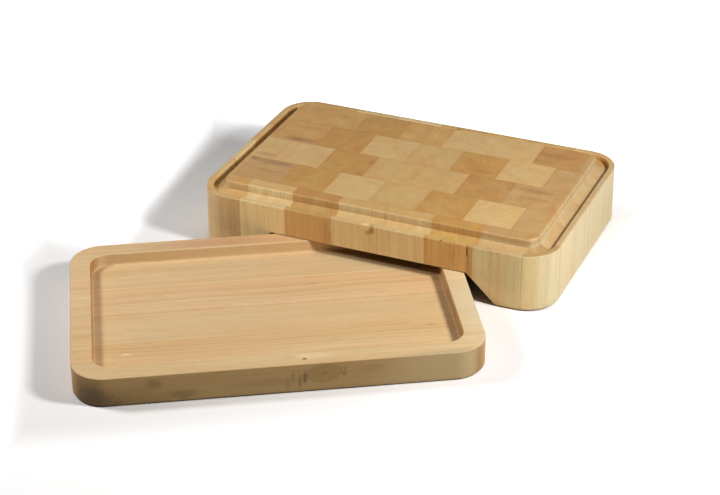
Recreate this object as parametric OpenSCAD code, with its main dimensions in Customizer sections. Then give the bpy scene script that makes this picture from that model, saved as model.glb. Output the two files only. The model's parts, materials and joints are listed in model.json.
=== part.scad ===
// End-grain cutting board with a raised cutting surface, a juice groove and an arch through it,
// and a shallow serving tray whose corner is pushed into the arch. Millimetres, Z up.

/* [Board] */
// Length of the board, left to right
board_w = 450; // [440:2:470]
// Depth of the board, front to back
board_d = 288; // [282:2:300]
// Height of the outer rim above the table
rim_h = 72.5; // [68:0.5:78]
// Height that the cutting surface stands above the outer rim
surface_rise = 9; // [7:0.5:11]
// Radius of the board's four upright corners
board_corner_r = 40; // [34:1:46]
// Radius that softens the edge of the cutting surface
surface_edge_r = 3; // [2:0.5:4]
// Radius that softens the outer top edge and the rim's inner edge
rim_edge_r = 1.5; // [1:0.25:2]
// Radius that softens the edge that stands on the table
foot_edge_r = 3; // [2:0.5:4]

/* [Juice groove] */
// Width of the outer rim
rim_w = 7.5; // [6.5:0.5:9]
// Width of the groove, from the rim to the cutting surface
groove_w = 17; // [15:0.5:19]
// Depth of the groove's lowest line below the rim
groove_depth = 7; // [5:0.5:8]
// Drop from the rim to where the groove meets the cutting surface
ledge_drop = 2; // [1.5:0.5:3]
// Distance of the groove's lowest line from the rim
groove_low_x = 3; // [2:0.5:5]

/* [Arch] */
// Height of the arch's flat ceiling
arch_h = 36.5; // [36.5:0.5:40]
// Width of the flat ceiling
arch_ceiling_w = 249; // [249:1:262]
// Sideways run of each sloping side, from the ceiling to the table
arch_slope_run = 39; // [34:1:42]
// Radius that softens the foot of each sloping side
arch_foot_r = 16; // [8:1:20]

/* [Blocks] */
// Length of a block along the board
block_w = 59.5; // [58:0.5:61]
// Depth of the front row, which is cut down
front_row_d = 39.5; // [37.5:1:43.5]
// Distance of the last joint between rows behind the cutting surface's back edge
back_joint_gap = 0.5; // [0.5:0.5:4]
// Place of the joint nearest the middle in the front, third and fifth rows
odd_joint_x = 13; // [11:0.5:15]
// Place of the joint nearest the middle in the second, fourth and back rows
even_joint_x = -14.5; // [-17:0.5:-12]

/* [Tray] */
// Length of the tray
tray_w = 452; // [440:2:460]
// Depth of the tray
tray_d = 292; // [284:2:300]
// Height of the tray, which has to pass under the arch
tray_h = 35.5; // [33:0.5:35.5]
// Thickness of the tray's floor
tray_floor_t = 20.5; // [16:0.5:24]
// Width of the tray's rim
tray_rim_w = 23.5; // [20:0.5:27]
// Radius of the tray's four upright corners
tray_corner_r = 38; // [34:1:44]
// Radius of the pocket's corners
pocket_corner_r = 22; // [18:1:26]
// Radius where the pocket's walls meet its floor
pocket_foot_r = 3; // [2:0.5:5]
// Radius that softens the tray's top edges
tray_edge_r = 1.25; // [0.75:0.25:2]
// Radius that softens the tray's lower edge
tray_foot_r = 3.5; // [2:0.5:5]
// Width of a stave across the tray
stave_w = 59.5; // [57:0.5:60]
// Width of the front stave, which is cut down
front_stave_w = 34; // [30:0.5:40]

/* [Resting place of the tray] */
// Turn of the tray from square with the board, in degrees
tray_turn = 30.8; // [26:0.2:36]
// Gap at the left side of the arch's mouth, between its ceiling's edge and the tray
gap_left = 3.5; // [2:0.5:10]
// Gap at the right side of the arch's mouth, between its ceiling's edge and the tray
gap_right = 1.5; // [1:0.5:10]

/* [Hidden] */
$fn = 96;
COLUMNS = 8;
ROW_NAMES = ["front", "second", "third", "fourth", "fifth", "back"];
STAVE_NAMES = ["front", "second", "third", "fourth", "fifth", "back"];
LAST = len(ROW_NAMES) - 1;

function block_name(row, col) = str(ROW_NAMES[row], "_row_block_", col + 1);
function stave_name(i) = str("tray_", STAVE_NAMES[i], "_stave");

// Sawn woods, named as they look when oiled
function wood(name) =
    name == "straw" ? [0.80, 0.68, 0.44] :
    name == "tan" ? [0.77, 0.64, 0.44] :
    name == "honey" ? [0.74, 0.59, 0.37] :
    name == "rosy" ? [0.74, 0.57, 0.39] :
    name == "amber" ? [0.70, 0.53, 0.30] :
    name == "rust" ? [0.66, 0.47, 0.26] :
    [0.84, 0.71, 0.50];

// The block of each row that goes in each column, front row first
ROW_WOODS = [
    ["honey", "straw", "rust", "tan", "tan", "amber", "rosy", "rosy"],
    ["tan", "rosy", "amber", "straw", "tan", "amber", "straw", "rosy"],
    ["straw", "straw", "amber", "tan", "tan", "rust", "rosy", "rosy"],
    ["honey", "honey", "amber", "straw", "tan", "amber", "straw", "rosy"],
    ["honey", "honey", "amber", "honey", "straw", "straw", "rust", "rosy"],
    ["honey", "rust", "tan", "straw", "rust", "amber", "amber", "honey"]
];
STAVE_WOODS = ["cream", "tan", "cream", "tan", "cream", "tan"];

top_h = rim_h + surface_rise;
inset = rim_w + groove_w;
margin = 1;

// Depth of a full row of blocks
back_row_d = inset - back_joint_gap;
row_d = (board_d - front_row_d - back_row_d) / (LAST - 1);

// The groove's floor is an arc whose lowest point is groove_low_x from the rim
arc_reach = groove_w - groove_low_x;
arc_rise = groove_depth - ledge_drop;
groove_arc_r = (arc_reach * arc_reach + arc_rise * arc_rise) / (2 * arc_rise);

// The tray's centre from the board's centre. Its back and right edges pass the arch's mouth
// at the two gaps, and the corner between them lies inside.
mouth_w = arch_ceiling_w - gap_left - gap_right;
corner_x = gap_left - arch_ceiling_w / 2 + mouth_w * cos(tray_turn) * cos(tray_turn);
corner_y = mouth_w * cos(tray_turn) * sin(tray_turn) - board_d / 2;
tray_x = corner_x - tray_w / 2 * cos(tray_turn) + tray_d / 2 * sin(tray_turn);
tray_y = corner_y - tray_w / 2 * sin(tray_turn) - tray_d / 2 * cos(tray_turn);

// Half the room that the turned tray takes up, along X and Y
straight_w = tray_w / 2 - tray_corner_r;
straight_d = tray_d / 2 - tray_corner_r;
reach_x = straight_w * cos(tray_turn) + straight_d * sin(tray_turn) + tray_corner_r;
reach_y = straight_w * sin(tray_turn) + straight_d * cos(tray_turn) + tray_corner_r;

// The part's origin is the middle of the space that board and tray take up, at table height
low_x = min(-board_w / 2, tray_x - reach_x);
high_x = max(board_w / 2, tray_x + reach_x);
low_y = tray_y - reach_y;
high_y = board_d / 2;
origin = [(low_x + high_x) / 2, (low_y + high_y) / 2, 0];

// What is cut away at an outside corner at the origin, with the wood below and to the right
module corner_waste(r) {
    difference() {
        translate([-margin, -r]) square([r + margin, r + margin]);
        translate([r, -r]) circle(r);
    }
}

// Carries a section round a plate with round corners. In the section, X runs inwards
// from the plate's edge and Y runs up.
module round_plate(w, d, r) {
    for (side = [0:3]) {
        run = side % 2 == 0 ? w : d;
        depth = side % 2 == 0 ? d : w;
        rotate(90 * side) {
            translate([-run / 2 + r, -depth / 2, 0])
                rotate([90, 0, 90]) linear_extrude(run - 2 * r) children();
            translate([run / 2 - r, -depth / 2 + r, 0])
                rotate(-90) rotate_extrude(angle = 90) translate([r, 0]) mirror([1, 0]) children();
        }
    }
}

// Section through the edge of the board: rim, juice groove and raised cutting surface
module board_section() {
    difference() {
        square([board_corner_r, top_h]);
        translate([-margin, rim_h]) square([inset + margin, surface_rise + margin]);
        intersection() {
            translate([rim_w, rim_h - groove_depth - margin])
                square([groove_w, groove_depth + 2 * margin]);
            union() {
                translate([rim_w, rim_h - ledge_drop]) square([groove_w, ledge_drop + margin]);
                translate([rim_w + groove_low_x, rim_h - groove_depth + groove_arc_r])
                    circle(groove_arc_r);
            }
        }
        translate([0, rim_h]) corner_waste(rim_edge_r);
        translate([rim_w, rim_h]) mirror([1, 0]) corner_waste(rim_edge_r);
        translate([inset, top_h]) corner_waste(surface_edge_r);
        mirror([0, 1]) corner_waste(foot_edge_r);
    }
}

// Section of the passage under the board: a flat ceiling, sloping sides and rounded feet
module arch_section() {
    ceiling = arch_ceiling_w / 2;
    foot = ceiling + arch_slope_run;
    over = margin * arch_slope_run / arch_h;
    slope = atan(arch_h / arch_slope_run);
    round_run = arch_foot_r * tan(slope / 2);
    round_top = [foot - round_run * cos(slope), round_run * sin(slope)];
    polygon([
        [-foot - over, -margin], [foot + over, -margin],
        [ceiling, arch_h], [-ceiling, arch_h]
    ]);
    for (side = [0, 1]) mirror([side, 0]) difference() {
        polygon([
            [foot + round_run, -margin], [foot + round_run, arch_foot_r],
            round_top, round_top - [margin, margin], [foot, -margin]
        ]);
        translate([foot + round_run, arch_foot_r]) circle(arch_foot_r);
    }
}

// The passage, right through from front to back
module arch() {
    translate([0, board_d / 2 + margin, 0]) rotate([90, 0, 0])
        linear_extrude(board_d + 2 * margin) arch_section();
}

// The whole board before it is divided into the blocks that it is glued up from
module board_shape() {
    difference() {
        union() {
            round_plate(board_w, board_d, board_corner_r) board_section();
            translate([-board_w / 2 + board_corner_r, -board_d / 2 + board_corner_r, 0])
                cube([board_w - 2 * board_corner_r, board_d - 2 * board_corner_r, top_h]);
        }
        arch();
    }
}

// Where a row starts, from the board's front face
function row_start(row) = row == 0 ? 0 : front_row_d + (row - 1) * row_d;
function row_end(row) = row == LAST ? board_d : row_start(row + 1);

// Where a column's left joint lies, from the board's middle. Odd and even rows are staggered.
function first_joint(row) = (row % 2 == 0 ? odd_joint_x : even_joint_x) - (COLUMNS / 2 - 1) * block_w;
function col_start(row, col) = col == 0 ? -board_w / 2 : first_joint(row) + (col - 1) * block_w;
function col_end(row, col) = col == COLUMNS - 1 ? board_w / 2 : col_start(row, col + 1);

// One block of the board, its end grain up
module block(row, col) {
    x0 = col_start(row, col);
    y0 = row_start(row) - board_d / 2;
    color(wood(ROW_WOODS[row][col])) translate(-origin) intersection() {
        board_shape();
        translate([x0, y0, 0]) cube([col_end(row, col) - x0, row_end(row) - row_start(row), top_h]);
    }
}

// Section through the edge of the tray, its pocket not yet cut
module tray_section() {
    difference() {
        square([tray_corner_r, tray_h]);
        translate([0, tray_h]) corner_waste(tray_edge_r);
        mirror([0, 1]) corner_waste(tray_foot_r);
    }
}

// Section through the edge of the pocket, X running inwards from the pocket's wall
module pocket_section() {
    difference() {
        translate([0, tray_floor_t]) square([pocket_corner_r, tray_h + margin - tray_floor_t]);
        translate([0, tray_floor_t]) mirror([0, 1]) corner_waste(pocket_foot_r);
    }
    translate([0, tray_h]) mirror([1, 0]) corner_waste(tray_edge_r);
}

// The hollow of the tray
module pocket() {
    w = tray_w - 2 * tray_rim_w;
    d = tray_d - 2 * tray_rim_w;
    round_plate(w, d, pocket_corner_r) pocket_section();
    translate([-w / 2 + pocket_corner_r, -d / 2 + pocket_corner_r, tray_floor_t])
        cube([w - 2 * pocket_corner_r, d - 2 * pocket_corner_r, tray_h + margin - tray_floor_t]);
}

// The whole tray before it is divided into staves
module tray_shape() {
    difference() {
        union() {
            round_plate(tray_w, tray_d, tray_corner_r) tray_section();
            translate([-tray_w / 2 + tray_corner_r, -tray_d / 2 + tray_corner_r, 0])
                cube([tray_w - 2 * tray_corner_r, tray_d - 2 * tray_corner_r, tray_h]);
        }
        pocket();
    }
}

function stave_start(i) = i == 0 ? 0 : front_stave_w + (i - 1) * stave_w;
function stave_end(i) = i == LAST ? tray_d : stave_start(i + 1);

// One stave of the tray, its grain along the tray
module stave(i) {
    color(wood(STAVE_WOODS[i]))
        translate([tray_x, tray_y, 0] - origin) rotate(tray_turn) intersection() {
            tray_shape();
            translate([-tray_w / 2, stave_start(i) - tray_d / 2, 0])
                cube([tray_w, stave_end(i) - stave_start(i), tray_h]);
        }
}

for (row = [0:LAST]) for (col = [0:COLUMNS - 1])
    block(row, col);
for (i = [0:LAST])
    stave(i);
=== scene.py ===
import json
import math
import random

import bpy
from mathutils import Matrix, Vector


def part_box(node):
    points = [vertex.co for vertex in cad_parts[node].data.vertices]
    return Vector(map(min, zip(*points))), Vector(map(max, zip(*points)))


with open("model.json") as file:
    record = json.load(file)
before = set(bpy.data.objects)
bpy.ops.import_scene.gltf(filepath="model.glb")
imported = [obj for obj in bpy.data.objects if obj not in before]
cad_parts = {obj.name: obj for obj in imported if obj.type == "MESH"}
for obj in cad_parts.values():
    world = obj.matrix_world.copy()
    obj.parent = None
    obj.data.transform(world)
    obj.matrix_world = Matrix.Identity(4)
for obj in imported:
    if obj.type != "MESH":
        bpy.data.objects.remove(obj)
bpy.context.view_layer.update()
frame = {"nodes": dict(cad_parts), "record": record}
nodes = frame["nodes"]

# The board, 450 by 288 mm, stands at the back, and the tray lies in front of it, turned, with
# one corner under the board's arch. Both are solid oiled wood, glued up from single pieces.
# The camera stands to the right of the board's middle and above it, with a long lens.
CAMERA_PLACE = (0.824263, -1.779678, 1.1598)
LENS, FILM_WIDTH = 96.53, 36
CAMERA_PITCH, CAMERA_YAW, CAMERA_ROLL = (math.radians(a) for a in (29.48, -23.44, -0.35))
ahead = Vector((math.sin(CAMERA_YAW) * math.cos(CAMERA_PITCH),
                math.cos(CAMERA_YAW) * math.cos(CAMERA_PITCH), -math.sin(CAMERA_PITCH)))
level = ahead.cross(Vector((0, 0, 1))).normalized()
upward = level.cross(ahead)
across = math.cos(CAMERA_ROLL) * level + math.sin(CAMERA_ROLL) * upward
upward = math.cos(CAMERA_ROLL) * upward - math.sin(CAMERA_ROLL) * level
camera = bpy.data.objects.new("camera", bpy.data.cameras.new("camera"))
camera.data.lens = LENS
camera.data.sensor_width = FILM_WIDTH
camera.matrix_world = Matrix.Translation(CAMERA_PLACE) @ Matrix(
    (across, upward, -ahead)).transposed().to_4x4()
bpy.context.scene.collection.objects.link(camera)
bpy.context.scene.camera = camera


# Sawn wood, the same all through: growth rings round a far-off pith, fibres and pores along
# the length, and slow changes of tone. Every block and stave is cut from it at its own place,
# with its own colour and ring width.
def place(tree, kind, settings=None, inputs=None):
    node = tree.nodes.new("ShaderNode" + kind)
    for name, value in (settings or {}).items():
        setattr(node, name, value)
    for socket, value in (inputs or {}).items():
        if isinstance(value, bpy.types.NodeSocket):
            tree.links.new(value, node.inputs[socket])
        else:
            node.inputs[socket].default_value = value
    return node


def sum_of(tree, operation, *values):
    return place(tree, "Math", {"operation": operation}, dict(enumerate(values))).outputs[0]


def vector_of(tree, operation, *values):
    made = place(tree, "VectorMath", {"operation": operation}, dict(enumerate(values)))
    return made.outputs["Value" if operation in ("LENGTH", "DOT_PRODUCT") else "Vector"]


def smooth(tree, value, low, high, to_low=0.0, to_high=1.0):
    return place(tree, "MapRange", {"interpolation_type": "SMOOTHSTEP"}, {
        "Value": value, "From Min": low, "From Max": high,
        "To Min": to_low, "To Max": to_high}).outputs["Result"]


def blended(tree, share, colour, other, blend="MIX"):
    return place(tree, "Mix", {"data_type": "RGBA", "blend_type": blend, "clamp_factor": True},
                 {0: share, 6: colour, 7: other}).outputs[2]


def wavering(tree, position, scale, amount, detail=2.0, roughness=0.5):
    noise = place(tree, "TexNoise", None, {
        "Vector": position, "Scale": scale, "Detail": detail, "Roughness": roughness})
    return sum_of(tree, "MULTIPLY",
                  sum_of(tree, "SUBTRACT", noise.outputs["Fac"], 0.5), amount)


def effect(name, inputs, outputs):
    tree = bpy.data.node_groups.new(name, "ShaderNodeTree")
    for label, kind in inputs:
        tree.interface.new_socket(label, in_out="INPUT", socket_type="NodeSocket" + kind)
    for label, kind in outputs:
        tree.interface.new_socket(label, in_out="OUTPUT", socket_type="NodeSocket" + kind)
    start, end = tree.nodes.new("NodeGroupInput"), tree.nodes.new("NodeGroupOutput")
    return tree, start.outputs, end.inputs


EARLY_WOOD = (1.07, 1.09, 1.12, 1.0)
LATE_WOOD = (0.86, 0.77, 0.65, 1.0)
BLUSH = (1.02, 0.91, 0.82, 1.0)
PORE = (0.18, 0.09, 0.035, 1.0)
PORE_STRENGTH = 0.22
SLOW_STRETCH, PORE_STRETCH, FIBRE_STRETCH = ((1.0, 1.0, along) for along in (0.12, 0.07, 0.018))
BEND_SCALE, BLUSH_SCALE, PATCH_SCALE, FIBRE_SCALE, PORE_SCALE = 16.0, 27.0, 48.0, 330.0, 1150.0
LATE_RISE, LATE_END = 1.7, 0.82
sawn_wood, given, made = effect(
    "sawn_wood",
    [("Position", "Vector"), ("Wood", "Color"), ("Ring Width", "Float"), ("Rings", "Float"),
     ("Mottle", "Float"), ("Fibres", "Float"), ("Bend", "Float")],
    [("Color", "Color"), ("Roughness", "Float"), ("Height", "Float")])
slow = vector_of(sawn_wood, "MULTIPLY", given["Position"], SLOW_STRETCH)
drift = place(sawn_wood, "TexNoise", None, {
    "Vector": slow, "Scale": BEND_SCALE, "Detail": 2.0})
shift = vector_of(sawn_wood, "SUBTRACT", drift.outputs["Color"], (0.5, 0.5, 0.5))
shift = place(sawn_wood, "VectorMath", {"operation": "SCALE"},
              {0: shift, "Scale": given["Bend"]}).outputs["Vector"]
bent = vector_of(sawn_wood, "ADD", given["Position"], shift)
flat = vector_of(sawn_wood, "MULTIPLY", bent, (1.0, 1.0, 0.0))
ring = sum_of(sawn_wood, "DIVIDE", vector_of(sawn_wood, "LENGTH", flat), given["Ring Width"])
year = place(sawn_wood, "TexWhiteNoise", {"noise_dimensions": "1D"},
             {"W": sum_of(sawn_wood, "FLOOR", ring)}).outputs["Value"]
season = sum_of(sawn_wood, "FRACT", ring)
late = sum_of(sawn_wood, "MULTIPLY", sum_of(sawn_wood, "POWER", season, LATE_RISE),
              smooth(sawn_wood, season, LATE_END, 1.0, 1.0, 0.0))
late = sum_of(sawn_wood, "MULTIPLY", late, sum_of(sawn_wood, "MULTIPLY_ADD", year, 1.1, 0.45))
years = place(sawn_wood, "TexNoise", {"noise_dimensions": "1D"}, {
    "W": sum_of(sawn_wood, "MULTIPLY", ring, 0.31), "Scale": 1.0, "Detail": 1.0})
late = sum_of(sawn_wood, "ADD", sum_of(sawn_wood, "SUBTRACT", late, 0.25),
              sum_of(sawn_wood, "SUBTRACT", years.outputs["Fac"], 0.5))
late = sum_of(sawn_wood, "MULTIPLY", late, given["Rings"])
patches = wavering(sawn_wood, slow, PATCH_SCALE, given["Mottle"], 4.0, 0.6)
drawn_out = vector_of(sawn_wood, "MULTIPLY", bent, FIBRE_STRETCH)
fibres = wavering(sawn_wood, drawn_out, FIBRE_SCALE, given["Fibres"], 3.0, 0.65)
tone = sum_of(sawn_wood, "ADD", sum_of(sawn_wood, "ADD", late, patches), fibres)
tone = place(sawn_wood, "Clamp", None,
             {"Value": sum_of(sawn_wood, "ADD", tone, 0.4)}).outputs["Result"]
colour = blended(sawn_wood, 1.0, given["Wood"],
                 blended(sawn_wood, tone, EARLY_WOOD, LATE_WOOD), "MULTIPLY")
pink = sum_of(sawn_wood, "ADD", wavering(sawn_wood, slow, BLUSH_SCALE, 2.4), 0.35)
pink = place(sawn_wood, "Clamp", None, {
    "Value": sum_of(sawn_wood, "MULTIPLY", pink, given["Mottle"])}).outputs["Result"]
colour = blended(sawn_wood, pink, colour,
                 blended(sawn_wood, 1.0, colour, BLUSH, "MULTIPLY"))
along = vector_of(sawn_wood, "MULTIPLY", bent, PORE_STRETCH)
pores = smooth(sawn_wood, wavering(sawn_wood, along, PORE_SCALE, 1.0, 1.0), 0.10, 0.24)
colour = blended(sawn_wood, sum_of(sawn_wood, "MULTIPLY", pores, PORE_STRENGTH), colour, PORE)
streaks = wavering(sawn_wood, drawn_out, FIBRE_SCALE, 1.0, 3.0, 0.65)
sawn_wood.links.new(colour, made["Color"])
sawn_wood.links.new(sum_of(sawn_wood, "MULTIPLY_ADD", streaks, 0.16, 0.50), made["Roughness"])
sawn_wood.links.new(sum_of(sawn_wood, "SUBTRACT", streaks, pores), made["Height"])

# Glue joints. The adhesive dries a little darker than the wood, in a line thinner than half
# a millimetre along each side where a piece meets its neighbour, and the wood next to it has
# soaked in here and there.
LINE_FROM, LINE_TO = 0.0001, 0.0006
SOAKED_FROM, SOAKED_TO = 0.0003, 0.0060
glue_line, given, made = effect(
    "glue_line", [("Position", "Vector"), ("Low", "Vector"), ("High", "Vector")],
    [("Line", "Float"), ("Soaked", "Float")])
near = vector_of(glue_line, "MINIMUM",
                 vector_of(glue_line, "ABSOLUTE",
                           vector_of(glue_line, "SUBTRACT", given["Position"], given["Low"])),
                 vector_of(glue_line, "ABSOLUTE",
                           vector_of(glue_line, "SUBTRACT", given["Position"], given["High"])))
sides = place(glue_line, "SeparateXYZ", None, {0: near})
nearest = sum_of(glue_line, "MINIMUM", sides.outputs["X"], sides.outputs["Y"])
glue_line.links.new(smooth(glue_line, nearest, LINE_FROM, LINE_TO, 1.0, 0.0),
                    made["Line"])
uneven = sum_of(glue_line, "ADD", wavering(glue_line, given["Position"], 45.0, 3.2), 0.45)
uneven = place(glue_line, "Clamp", None, {"Value": uneven}).outputs["Result"]
soaked = smooth(glue_line, nearest, SOAKED_FROM, SOAKED_TO, 1.0, 0.0)
glue_line.links.new(sum_of(glue_line, "MULTIPLY", soaked, uneven), made["Soaked"])

# Stains, streaks and checks in the wood, and also painted light and painted shade on a few
# faces: a mark of its own length, width and height, ragged at its edge.
stain_and_shading_mark, given, made = effect(
    "stain_and_shading_mark", [("Position", "Vector"), ("Centre", "Vector"), ("Size", "Vector"),
                  ("Ragged", "Float")],
    [("Mask", "Float")])
apart = vector_of(stain_and_shading_mark, "DIVIDE",
                  vector_of(stain_and_shading_mark, "SUBTRACT", given["Position"], given["Centre"]),
                  given["Size"])
stretched = vector_of(stain_and_shading_mark, "DIVIDE", given["Position"], given["Size"])
apart = sum_of(stain_and_shading_mark, "ADD", vector_of(stain_and_shading_mark, "LENGTH", apart),
               sum_of(stain_and_shading_mark, "ADD",
                      wavering(stain_and_shading_mark, stretched, 2.4, given["Ragged"], 3.0),
                      wavering(stain_and_shading_mark, given["Position"], 260.0, given["Ragged"], 2.0)))
stain_and_shading_mark.links.new(smooth(stain_and_shading_mark, apart, 0.25, 1.0, 1.0, 0.0), made["Mask"])

# Knots, where a branch grew: a dark eye, a few rings round it, and the grain of the trunk
# that bends past on both sides and fades away.
KNOT_RINGS = 3.3
BARK = 0.75
knot, given, made = effect(
    "knot", [("Position", "Vector"), ("Centre", "Vector"), ("Size", "Vector")],
    [("Inside", "Float"), ("Dark", "Float")])
apart = vector_of(knot, "LENGTH", vector_of(
    knot, "DIVIDE", vector_of(knot, "SUBTRACT", given["Position"], given["Centre"]),
    given["Size"]))
apart = sum_of(knot, "ADD", apart, wavering(knot, given["Position"], 60.0, 0.75))
wave = sum_of(knot, "SINE", sum_of(knot, "MULTIPLY", apart, 2 * math.pi * KNOT_RINGS))
wave = smooth(knot, wave, -0.2, 1.0)
fading = smooth(knot, apart, 0.3, 1.7, 0.5, 0.0)
patchy = sum_of(knot, "ADD", wavering(knot, given["Position"], 70.0, 1.6), 0.75)
bark = sum_of(knot, "MULTIPLY", smooth(knot, apart, 0.82, 0.98),
              smooth(knot, apart, 1.0, 1.2, BARK, 0.0))
dark = sum_of(knot, "MAXIMUM", sum_of(knot, "MULTIPLY", wave, fading), bark)
dark = sum_of(knot, "MULTIPLY", dark, patchy)
dark = sum_of(knot, "MAXIMUM", dark, smooth(knot, apart, 0.10, 0.24, 0.9, 0.0))
knot.links.new(smooth(knot, apart, 0.85, 1.1, 1.0, 0.0), made["Inside"])
knot.links.new(dark, made["Dark"])


# The oiled finish, made once for each block and stave. Each wood has a colour along the
# grain and one across it, where the open ends drink more oil and come out darker, and then
# its ring width in metres and how strongly rings, mottling, fibres and soaked edges show.
# It also paints shade on every downward face, and painted light and shade on one side where
# asked.
def tint(code):
    parts = [int(code[i:i + 2], 16) / 255 for i in (0, 2, 4)]
    return tuple(c / 12.92 if c <= 0.04045 else ((c + 0.055) / 1.055) ** 2.4
                 for c in parts) + (1.0,)


def metres(*sizes):
    return tuple(size / 1000 for size in sizes)


WOODS = {
    "straw": ("F3DCA3", "D1B075", 0.0026, 0.55, 0.8, 0.6, 0.25),
    "tan": ("E6CB94", "C9A669", 0.0026, 0.50, 0.9, 0.7, 0.55),
    "honey": ("E1C28E", "C99F5D", 0.0040, 0.40, 1.1, 0.9, 0.65),
    "rosy": ("DED0A1", "BD9962", 0.0024, 0.42, 0.9, 0.7, 0.70),
    "amber": ("D9AC6A", "BD924B", 0.0050, 0.35, 1.2, 1.2, 0.60),
    "rust": ("D6AF70", "B98D4D", 0.0045, 0.40, 1.2, 1.2, 0.60),
    "cream": ("D9BE91", "B5905C", 0.0060, 0.14, 0.9, 0.7, 0.20),
}
slots = {part["node"]: part["material_slot"] for part in frame["record"]["subparts"]}
GLUE = tint("6B4520")
GLUE_SHARE, GLUE_SHARE_ON_ENDS = 0.24, 0.10
SOAKED = (0.93, 0.78, 0.62)
# Painted shade, not a wood tone: every downward face is darkened, which keeps the gap under
# the board and the tray's lower edge dark.
UNDERSIDE_PAINTED_SHADE = (0.28, 0.30, 0.31)
GRAIN_BEND = 0.012
OILED_SHINE = 0.35
PORE_DEPTH = 0.0003
GROOVE_FROM, RAISED_FROM = 0.056, 0.0745
ALL_ALONG = 9000


def toned(tree, share, colour, tone):
    return blended(tree, share, colour,
                   blended(tree, 1.0, colour, (*tone, 1.0), "MULTIPLY"))


def oiled_wood(name, home, length, pith, low, high, marks_and_shading=(), knots=(), dye=(1, 1, 1),
               painted_side_shading=None, cut_tones=None, pale_joint=None):
    centre, angle = home
    along_grain, across_grain, ring_width, rings, mottle, fibres, soaking = WOODS[slots[name]]
    material = bpy.data.materials.new(name)
    material.use_nodes = True
    tree = material.node_tree
    skin = tree.nodes["Principled BSDF"]
    where = place(tree, "TexCoord")
    square = Matrix.Rotation(-angle, 3, "Z")
    here = place(tree, "Mapping", {"vector_type": "POINT"}, {
        "Vector": where.outputs["Object"], "Location": -(square @ centre),
        "Rotation": (0, 0, -angle)}).outputs["Vector"]
    turn = length.to_track_quat("Z", "X").to_matrix().transposed()
    laid = place(tree, "Mapping", {"vector_type": "POINT"}, {
        "Vector": here, "Location": -(turn @ pith), "Rotation": turn.to_euler("XYZ")})
    facing = sum_of(tree, "ABSOLUTE", vector_of(
        tree, "DOT_PRODUCT", where.outputs["Normal"], tuple(square.transposed() @ length)))
    ends = smooth(tree, facing, 0.35, 0.9)
    grain = place(tree, "Group", {"node_tree": sawn_wood}, {
        "Position": laid.outputs["Vector"], "Ring Width": ring_width,
        "Wood": blended(tree, ends, tint(along_grain), tint(across_grain)),
        "Rings": smooth(tree, ends, 0.0, 1.0, rings, 0.5 * rings),
        "Mottle": smooth(tree, ends, 0.0, 1.0, mottle, 1.6 * mottle),
        "Fibres": fibres, "Bend": GRAIN_BEND})
    shade = blended(tree, 1.0, grain.outputs["Color"], (*dye, 1.0), "MULTIPLY")
    # Painted light and shade: one side is made lighter or darker, as light falls on it.
    if painted_side_shading:
        side, tone = painted_side_shading
        outward = vector_of(tree, "DOT_PRODUCT", where.outputs["Normal"],
                            tuple(square.transposed() @ Vector(side)))
        shade = toned(tree, smooth(tree, outward, 0.3, 0.8), shade, tone)
    if cut_tones:
        rim_tone, raised_side_tone = cut_tones
        height = place(tree, "SeparateXYZ", None, {0: here}).outputs["Z"]
        rim = sum_of(tree, "MULTIPLY", smooth(tree, height, GROOVE_FROM, GROOVE_FROM + 0.004),
                     smooth(tree, height, RAISED_FROM, RAISED_FROM + 0.002, 1.0, 0.0))
        shade = toned(tree, sum_of(tree, "MULTIPLY", rim, ends), shade, rim_tone)
        raised_side = sum_of(tree, "MULTIPLY",
                             smooth(tree, height, RAISED_FROM - 0.001, RAISED_FROM),
                             smooth(tree, ends, 0.0, 0.6, 1.0, 0.0))
        shade = toned(tree, raised_side, shade, raised_side_tone)
    # Painted shade: every downward face is darkened.
    down = vector_of(tree, "DOT_PRODUCT", where.outputs["Normal"], (0, 0, -1))
    shade = toned(tree, smooth(tree, down, 0.3, 0.7), shade, UNDERSIDE_PAINTED_SHADE)
    joint = place(tree, "Group", {"node_tree": glue_line}, {
        "Position": here, "Low": low, "High": high})
    shade = toned(tree, sum_of(tree, "MULTIPLY", joint.outputs["Soaked"], soaking), shade,
                  SOAKED)
    line = sum_of(tree, "MULTIPLY", joint.outputs["Line"],
                  smooth(tree, ends, 0.0, 1.0, GLUE_SHARE, GLUE_SHARE_ON_ENDS))
    shade = blended(tree, line, shade, GLUE)
    for middle, size, inside, dark, inside_share, dark_share in knots:
        eye = place(tree, "Group", {"node_tree": knot}, {
            "Position": here, "Centre": metres(*middle), "Size": metres(*size)})
        shade = blended(tree, sum_of(tree, "MULTIPLY", eye.outputs["Inside"], inside_share),
                        shade, tint(inside))
        shade = blended(tree, sum_of(tree, "MULTIPLY", eye.outputs["Dark"], dark_share),
                        shade, tint(dark))
    if pale_joint:
        at, half_width, code, strength = pale_joint
        strength = smooth(tree, ends, 0.0, 1.0, strength, 0.0)
        marks_and_shading = [((0, at, 20), (ALL_ALONG, half_width, ALL_ALONG), code, strength, 0.2),
                 *marks_and_shading]
    # Stains, streaks and checks, and on the tray also painted light and painted shade.
    for middle, size, code, strength, ragged in marks_and_shading:
        mark = place(tree, "Group", {"node_tree": stain_and_shading_mark}, {
            "Position": here, "Centre": metres(*middle), "Size": metres(*size),
            "Ragged": ragged})
        shade = blended(tree, sum_of(tree, "MULTIPLY", mark.outputs["Mask"], strength),
                        shade, tint(code))
    bump = place(tree, "Bump", None, {
        "Strength": 0.25, "Distance": PORE_DEPTH, "Height": grain.outputs["Height"]})
    tree.links.new(shade, skin.inputs["Base Color"])
    tree.links.new(grain.outputs["Roughness"], skin.inputs["Roughness"])
    tree.links.new(bump.outputs["Normal"], skin.inputs["Normal"])
    skin.inputs["Specular IOR Level"].default_value = OILED_SHINE
    return material


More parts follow.
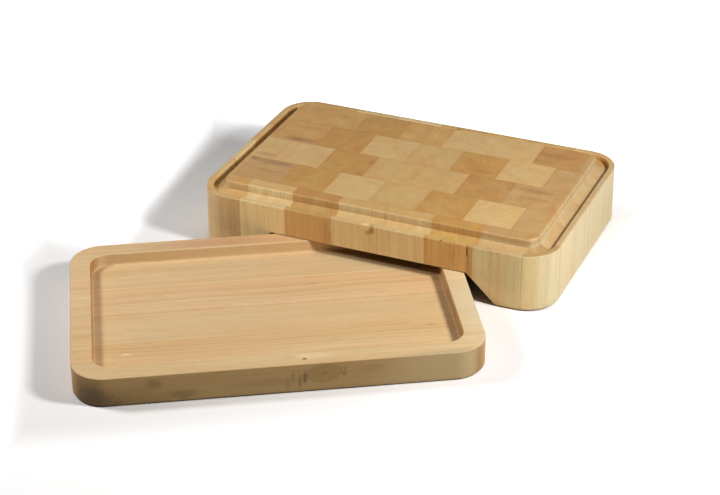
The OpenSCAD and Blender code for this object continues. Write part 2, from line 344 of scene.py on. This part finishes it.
# The board: forty-eight blocks in six rows, glued up with their end grain on top. Each one's
# pith lies outside it, so its rings cross the top as arcs and run down the sides. Marks are
# in millimetres from the board's middle: place, half sizes, colour, strength, raggedness.
BOARD_CENTRE = Vector((0.045063, 0.180422, 0.0))
NO_JOINT = 9.0
DEEP = 30
# The tones by face were fitted to one photograph. The right side is painted light, paler and
# less saturated as strong light shows it. The rim tops and groove floor are made paler and
# bluer, and darker at the front-right corner; the raised sides paler, on the right darker
# and more orange.
RIGHT_SIDE_PAINTED_LIGHT = (0.84, 0.88, 0.98)
RIM_TONE, CORNER_RIM_TONE = (1.07, 1.25, 1.60), (0.86, 0.88, 0.95)
RAISED_TONE, RIGHT_RAISED_TONE = (1.02, 1.09, 1.21), (0.96, 0.80, 0.68)
LEAN = 0.03
draw = random.Random(7)
BLOCK_MARKS = {
    "front_row_block_1": [((-174, -144, 40), (11, 12, 70), "A97F4C", 0.35, 0.9)],
    "front_row_block_3": [((-52, -144, 50), (5, 12, 40), "A8713A", 0.35, 0.8)],
    "front_row_block_4": [
        ((3, -144, 67.5), (9.5, 9, 9.5), "8F6029", 0.9, 0.2),
        ((-1, -144, 70), (9, 9, 9), "EBCB8B", 1.0, 0.15)],
    "front_row_block_7": [((165, -116, 84), (46, 20, 6), "A07443", 0.3, 0.6)],
    "front_row_block_8": [((196, -116, 84), (30, 20, 6), "B07F4C", 0.3, 0.6)],
    "front_row_block_6": [
        ((127, -144, 50), (6, 12, 60), "AE7C40", 0.45, 0.5),
        ((108, -144, 52), (5, 12, 22), "B8884C", 0.35, 0.9),
        ((125.6, -144, 65), (1.3, 6, 11), "3E210C", 0.95, 0.2),
        ((127, -144, 50), (1.1, 6, 18), "7F5226", 0.6, 0.4),
        ((93.4, -144, 72.5), (2.2, 2.2, 2.0), "4F2C14", 0.9, 0.2)],
    "second_row_block_2": [
        ((-160, -55, 81.5), (38, 9, DEEP), "8E5F38", 0.55, 0.5),
        ((-189, -53, 81.5), (8, 5, DEEP), "6F452A", 0.5, 0.5),
        ((-158, -78, 81.5), (34, 5, DEEP), "A07044", 0.35, 0.6)],
    "third_row_block_1": [((-180, -38, 81.5), (24, 7, DEEP), "A07048", 0.4, 0.6)],
    "third_row_block_3": [
        ((-50, -10, 81.5), (5, 10, DEEP), "93602F", 0.5, 0.7),
        ((-52, -42, 81.5), (6, 4, DEEP), "93602F", 0.45, 0.7)],
    "third_row_block_7": [
        ((160, -4, 81.5), (36, 8, DEEP), "906134", 0.5, 0.6),
        ((166, -24, 81.5), (30, 6, DEEP), "98683A", 0.4, 0.7)],
    "fourth_row_block_1": [((-188, 30, 81.5), (16, 6, DEEP), "A07044", 0.4, 0.6)],
    "fourth_row_block_2": [
        ((-158, 15, 81.5), (36, 9, DEEP), "8E5C38", 0.55, 0.5),
        ((-163, 15, 81.5), (10, 4, DEEP), "734629", 0.45, 0.4),
        ((-160, 50, 81.5), (30, 8, DEEP), "A67A48", 0.3, 0.6)],
    "fourth_row_block_6": [((80, 20, 81.5), (20, 8, DEEP), "986832", 0.4, 0.7)],
    "fifth_row_block_7": [
        ((150, 94, 81.5), (36, 8, DEEP), "916233", 0.4, 0.7),
        ((140, 74, 81.5), (24, 5, DEEP), "916233", 0.4, 0.7)],
    "back_row_block_5": [((9, 136, 72.5), (5, 2.5, 6), "5E3B1C", 0.7, 0.4)],
}
for row in ("front", "second", "third", "fourth", "fifth", "back"):
    for column in range(1, 9):
        name = f"{row}_row_block_{column}"
        block = nodes[name]
        low, high = (Vector(corner) - BOARD_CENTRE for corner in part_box(name))
        middle = (low + high) / 2
        turn = draw.uniform(0, 2 * math.pi)
        if row == "front":
            turn = draw.choice((0, math.pi)) + draw.uniform(-0.55, 0.55)
        if column == 8:
            turn = draw.choice((1, -1)) * (math.pi / 2 + draw.uniform(-0.5, 0.5))
        if row == "front" and column == 8:
            turn = 0.8
        reach = draw.uniform(0.07, 0.16)
        pith = middle + reach * Vector((math.cos(turn), math.sin(turn), 0))
        length = Vector((draw.uniform(-LEAN, LEAN), draw.uniform(-LEAN, LEAN), 1)).normalized()
        west = low.x if column > 1 else -NO_JOINT
        east = high.x if column < 8 else NO_JOINT
        south = low.y if row != "front" else -NO_JOINT
        north = high.y if row != "back" else NO_JOINT
        block.data.materials.clear()
        block.data.materials.append(oiled_wood(
            name, (BOARD_CENTRE, 0.0), length, Vector((pith.x, pith.y, draw.uniform(-3, 3))),
            (west, south, NO_JOINT), (east, north, NO_JOINT), BLOCK_MARKS.get(name, ()),
            # Painted light: the right side of the last column is made paler and less saturated.
            painted_side_shading=((1, 0, 0), RIGHT_SIDE_PAINTED_LIGHT) if column == 8 else None,
            cut_tones=(CORNER_RIM_TONE if name == "front_row_block_8" else RIM_TONE,
                       RIGHT_RAISED_TONE if column >= 7 else RAISED_TONE)))

# The tray: six staves, glued edge to edge, with their grain along it. The pocket was cut
# after gluing, so the staves run through its floor and its rims. Places are in millimetres
# from the tray's middle: along it, across it to the back, and up.
TRAY_CENTRE = Vector((-0.015278, -0.09739, 0.0))
TRAY_TURN = math.radians(30.8)
FRONT_STAVE, STAVE, HALF_DEPTH = 34, 59.5, 146
# Fitted like the board's tones: the front face is made darker and less blue, a painted shade.
TRAY_FRONT_PAINTED_SHADE = (0.56, 0.54, 0.45)
STAVE_TONES = {
    "front": (0.98, 1.0, 1.0), "second": (0.86, 0.79, 0.81), "third": (1.0, 0.96, 0.92),
    "fourth": (0.91, 0.84, 0.92), "fifth": (1.01, 0.99, 0.99), "back": (0.84, 0.77, 0.83)}
STAVE_MARKS_AND_SHADING = {
    "front": [
        # Painted shade: the left part of the front face is darkened.
        ((-200, -140, 2), (120, 40, 33), "6E5630", 0.45, 0.3),
        # Painted shade: the rounded front-left corner is darkened.
        ((-214, -146, 4), (56, 30, 30), "453214", 0.75, 0.3),
        ((-139, -146, 25), (13, 5, 9), "5C4722", 0.45, 0.5),
        ((-108, -146, 10), (24, 5, 8), "66502A", 0.45, 0.5),
        ((-20, -146, 16), (60, 5, 7), "86693C", 0.35, 0.6),
        ((23, -146, 19), (3.6, 5, 12), "5A361B", 0.65, 0.7),
        ((17, -146, 15), (3.4, 5, 14), "644322", 0.45, 0.8),
        ((10, -146, 20), (3.4, 5, 11), "6E4C27", 0.35, 0.8),
        ((4, -146, 12), (5, 5, 11), "6E4C27", 0.25, 0.8),
        # Painted light: the right part of the front face is made paler.
        ((185, -146, 18), (110, 12, 60), "B4A079", 0.75, 0.3),
        ((66, -146, 24), (4, 5, 12), "75593A", 0.3, 0.6),
        ((95, -146, 25), (24, 5, 6), "8C6A45", 0.35, 0.7),
        ((10, -130, 35.5), (12, 5, 5), "BE925F", 0.4, 0.7),
        ((30, -130, 35.5), (30, 9, 4), "EED2A2", 0.45, 0.6),
        ((23.6, -135, 35.5), (3.8, 3.0, 3), "6A2E20", 0.9, 0.4),
        ((65, -146, 19.6), (1.7, 3, 1.7), "4F3218", 0.9, 0.2)],
    "second": [
        ((-166.8, -76.2, 20.5), (8, 1.3, 2), "FFE6C8", 0.95, 0.1),
        ((174, -60.5, 20.5), (11, 0.9, 4), "6B4E2C", 0.7, 0.3)],
    "fourth": [((51, 47, 20.5), (14, 1.1, 4), "8C6B42", 0.5, 0.3)],
    "back": [((-40, 134, 35.5), (130, 12, 6), "C48C68", 0.5, 0.6)],
}
# Painted light: the tray's right end is made paler towards its top, where the light falls
# strongest.
RIGHT_RIM_PAINTED_LIGHT = ((240, -40, 37), (66, 150, 9), "DBCEAA", 0.6, 0.2)
PALE_JOINTS = {
    "second": (-52.5, 1.2, "E6CC98", 0.35), "third": (-52.5, 1.2, "E6CC98", 0.35),
    "fourth": (66.5, 1.7, "EBD3A2", 0.6), "fifth": (66.5, 1.7, "EBD3A2", 0.6)}
STAVE_KNOTS = {
    "front": [((43.5, -146, 22.5), (16.5, 14, 11), "927643", "5C4526", 0.65, 0.4)],
}
for count, row in enumerate(STAVE_TONES):
    name = f"tray_{row}_stave"
    stave = nodes[name]
    near_edge = 0 if count == 0 else FRONT_STAVE + STAVE * (count - 1)
    far_edge = FRONT_STAVE + STAVE * count
    near_edge, far_edge = ((edge - HALF_DEPTH) / 1000 for edge in (near_edge, far_edge))
    length = Vector((1, draw.uniform(-0.015, 0.015), 0)).normalized()
    pith = Vector((draw.uniform(-3, 3), (near_edge + far_edge) / 2 + draw.uniform(-0.03, 0.03),
                   draw.choice((-1, 1)) * draw.uniform(0.05, 0.12)))
    stave.data.materials.clear()
    stave.data.materials.append(oiled_wood(
        name, (TRAY_CENTRE, TRAY_TURN), length, pith,
        (NO_JOINT, near_edge if row != "front" else -NO_JOINT, NO_JOINT),
        (NO_JOINT, far_edge if row != "back" else NO_JOINT, NO_JOINT),
        [*STAVE_MARKS_AND_SHADING.get(row, ()), RIGHT_RIM_PAINTED_LIGHT], STAVE_KNOTS.get(row, ()), STAVE_TONES[row],
        # Painted shade: the front face of the front stave is made darker.
        painted_side_shading=((0, -1, 0), TRAY_FRONT_PAINTED_SHADE) if row == "front" else None,
        pale_joint=PALE_JOINTS.get(row)))

# The floor is pale to the camera and keeps the soft shadow of the board and tray. Outside
# the shadow it shines a little of its own white, and under the board it is painted darker, a
# painted shade. To bounced light it is tan, and nearly black under the board, a painted shade
# that dims the light bounced up into the arch.
FLOOR_SIZE = 12.0
JUST_BELOW = -0.0002
FLOOR_WHITE, FLOOR_PAINTED_SHADE_UNDER_BOARD = (0.97, 0.955, 0.945, 1.0), (0.50, 0.52, 0.55, 1.0)
WARM_BOUNCE, BOUNCE_PAINTED_SHADE_UNDER_BOARD = (0.78, 0.65, 0.49, 1.0), (0.08, 0.065, 0.05, 1.0)
GLOW = (0.98, 0.99, 1.0, 1.0)


def seen_directly(tree):
    path = place(tree, "LightPath").outputs
    return sum_of(tree, "MAXIMUM", path["Is Camera Ray"], path["Is Glossy Ray"])


bpy.ops.mesh.primitive_plane_add(size=FLOOR_SIZE, location=(0, 0, JUST_BELOW))
floor = bpy.context.object
floor.name = "floor"
pale = bpy.data.materials.new("pale_floor")
pale.use_nodes = True
tree = pale.node_tree
tree.nodes.remove(tree.nodes["Principled BSDF"])
seen = seen_directly(tree)
spot = place(tree, "TexCoord").outputs["Object"]
away = place(tree, "SeparateXYZ", None, {0: spot}).outputs
from_board = vector_of(tree, "ABSOLUTE", vector_of(tree, "SUBTRACT", spot, BOARD_CENTRE))
from_board = place(tree, "SeparateXYZ", None, {0: from_board}).outputs
within = smooth(tree, from_board["X"], 0.19, 0.23, 1.0, 0.0)
# Painted shade: the floor under the board is darker, to the camera and to bounced light.
painted_shade_under_board = sum_of(tree, "MULTIPLY", within, smooth(tree, from_board["Y"], 0.128, 0.146, 1.0, 0.0))
under = sum_of(tree, "MULTIPLY", within, smooth(tree, from_board["Y"], 0.13, 0.16, 1.0, 0.0))
paint = blended(tree, seen, blended(tree, under, WARM_BOUNCE, BOUNCE_PAINTED_SHADE_UNDER_BOARD),
                blended(tree, painted_shade_under_board, FLOOR_WHITE, FLOOR_PAINTED_SHADE_UNDER_BOARD))
matt = place(tree, "BsdfDiffuse", None, {"Color": paint})
along_tray = vector_of(tree, "DOT_PRODUCT", spot, (math.cos(TRAY_TURN), math.sin(TRAY_TURN), 0))
over_tray = vector_of(tree, "DOT_PRODUCT", spot, (-math.sin(TRAY_TURN), math.cos(TRAY_TURN), 0))
slanted = sum_of(tree, "MULTIPLY_ADD", away["Y"], 0.143, away["X"])
past_shadow = sum_of(tree, "MULTIPLY", smooth(tree, away["Y"], -0.06, 0.02),
                     smooth(tree, slanted, -0.280, -0.245, 0.45, 0.0))
beside_board = sum_of(tree, "MULTIPLY", smooth(tree, away["Y"], -0.02, 0.08),
                      smooth(tree, away["X"], -0.21, -0.17, 0.10, 0.0))
far_off = smooth(tree, vector_of(tree, "LENGTH", spot), 0.42, 0.75)
behind_board = smooth(tree, away["Y"], 0.26, 0.47)
right_of_board = smooth(tree, away["X"], 0.270, 0.32, 0.0, 0.5)
before_tray = smooth(tree, over_tray, -0.300, -0.240, 0.22, 0.0)
left_of_tray = smooth(tree, along_tray, -0.365, -0.335, 0.25, 0.0)
far_left = smooth(tree, away["X"], -0.40, -0.33, 0.45, 0.0)
glow_share = sum_of(tree, "ADD", past_shadow, beside_board)
for share in (far_off, behind_board, right_of_board, before_tray, left_of_tray, far_left):
    glow_share = sum_of(tree, "MAXIMUM", glow_share, share)
glow = place(tree, "Emission", None, {
    "Color": GLOW, "Strength": sum_of(tree, "MULTIPLY", seen, glow_share)})
both = place(tree, "AddShader", None, {0: matt.outputs[0], 1: glow.outputs[0]})
tree.links.new(both.outputs[0], tree.nodes["Material Output"].inputs["Surface"])
floor.data.materials.append(pale)


# Two soft lamps hang close by, one to the right of the board and one to the left in front.
def soft_lamp(name, spot, size, power, aim):
    lamp = bpy.data.objects.new(name, bpy.data.lights.new(name, "AREA"))
    lamp.data.shape = "DISK"
    lamp.data.size = size
    lamp.data.energy = power
    lamp.matrix_world = Matrix.Translation(spot) @ (aim - spot).to_track_quat(
        "-Z", "Y").to_matrix().to_4x4()
    bpy.context.scene.collection.objects.link(lamp)


AIM = Vector((0.0, 0.03, 0.03))
LAMP_SIZE = 0.22
RIGHT_POWER, LEFT_POWER = 13.4, 4.9
soft_lamp("right_lamp", Vector((0.945, -0.100, 0.80)), LAMP_SIZE, RIGHT_POWER, AIM)
soft_lamp("left_lamp", Vector((-0.689, -0.375, 0.70)), LAMP_SIZE, LEFT_POWER, AIM)

# The surroundings give a faint even light, and show white behind the floor.
ROOM_LIGHT, ROOM_WHITE = 0.025, 1.0
world = bpy.data.worlds.new("room")
bpy.context.scene.world = world
world.use_nodes = True
tree = world.node_tree
tree.links.new(smooth(tree, seen_directly(tree), 0.0, 1.0, ROOM_LIGHT, ROOM_WHITE),
               tree.nodes["Background"].inputs["Strength"])
tree.nodes["Background"].inputs["Color"].default_value = (1.0, 1.0, 1.0, 1.0)
bpy.context.scene.view_settings.view_transform = "Standard"
